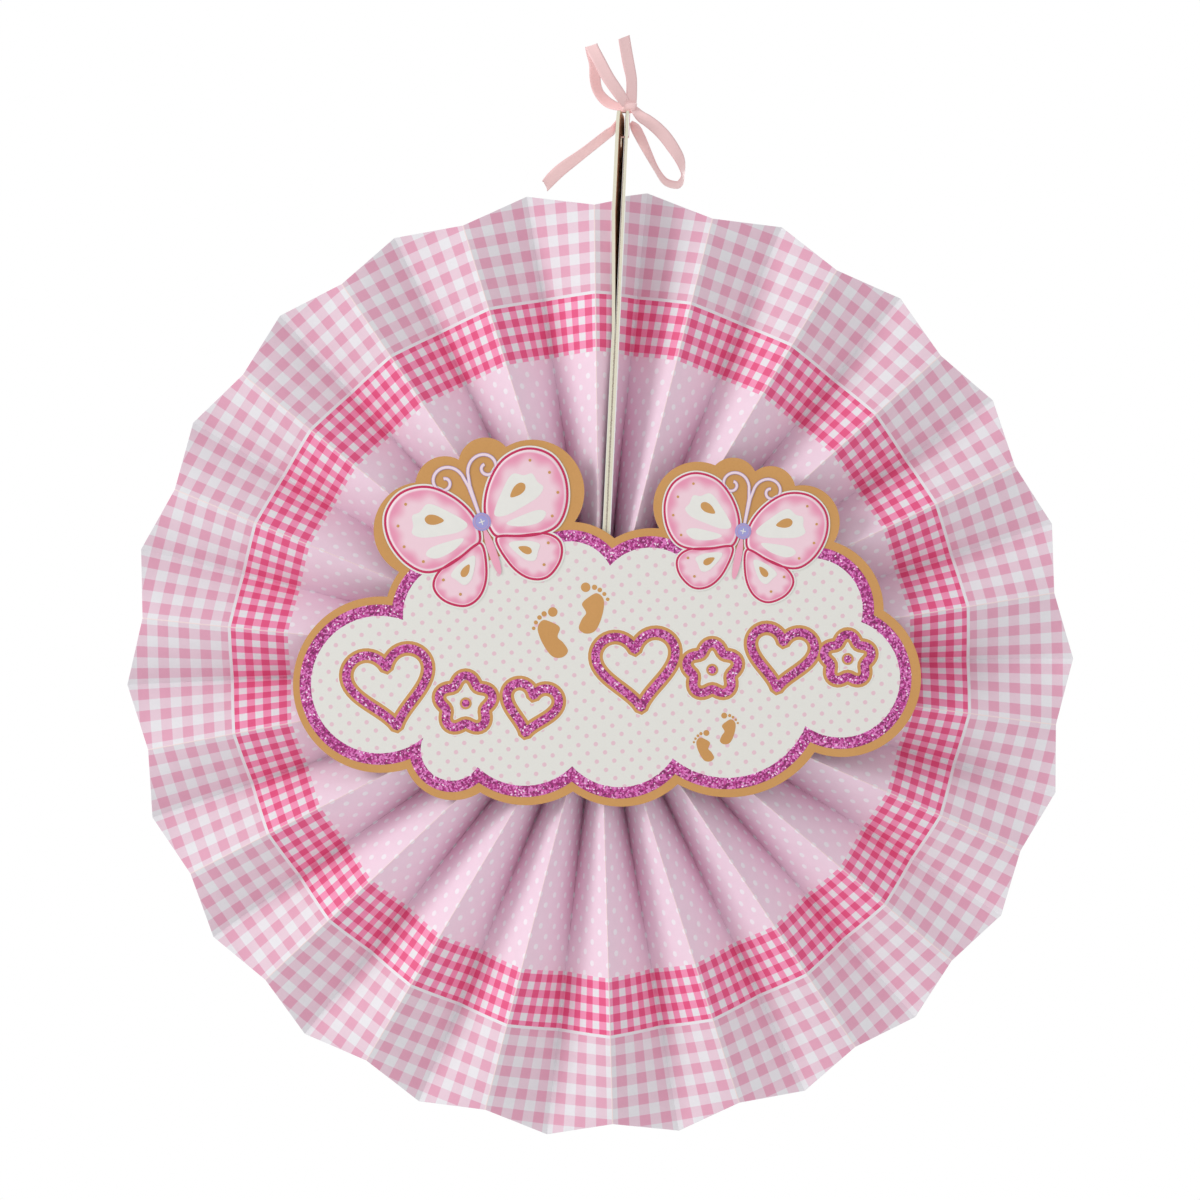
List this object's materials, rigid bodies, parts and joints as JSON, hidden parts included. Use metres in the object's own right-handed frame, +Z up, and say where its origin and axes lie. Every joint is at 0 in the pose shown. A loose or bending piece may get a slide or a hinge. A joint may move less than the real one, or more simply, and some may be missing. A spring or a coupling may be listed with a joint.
{
  "type": "paper fan rosette",
  "caption": "Folded paper disc closed by two card strips, with a die-cut card badge on its front and a ribbon bow to hang it by.",
  "frame": {"origin": "middle of the punched holes through the two card strips, where the ribbon carries the rosette", "axes": "+Z up as it hangs, the printed front faces -Y, +X to the viewer's right; the hub is 221 mm below the origin along the strips, which lean 2.65 degrees"},
  "size_m": [0.3998, 0.0317, 0.4639],
  "materials": {
    "pleated_fan": "printed, matt",
    "card_strip": "matt",
    "hub_thread": "matt",
    "hanging_ribbon": "satin",
    "cloud_card": "printed, with glitter",
    "adhesive_pads": "matt"
  },
  "bodies": {
    "root": {"pleated_fan": "pleated_fan", "left_card_strip": "card_strip", "right_card_strip": "card_strip", "hub_thread": "hub_thread", "hanging_ribbon": "hanging_ribbon", "cloud_card": "cloud_card", "adhesive_pads": "adhesive_pads"}
  },
  "joints": []
}
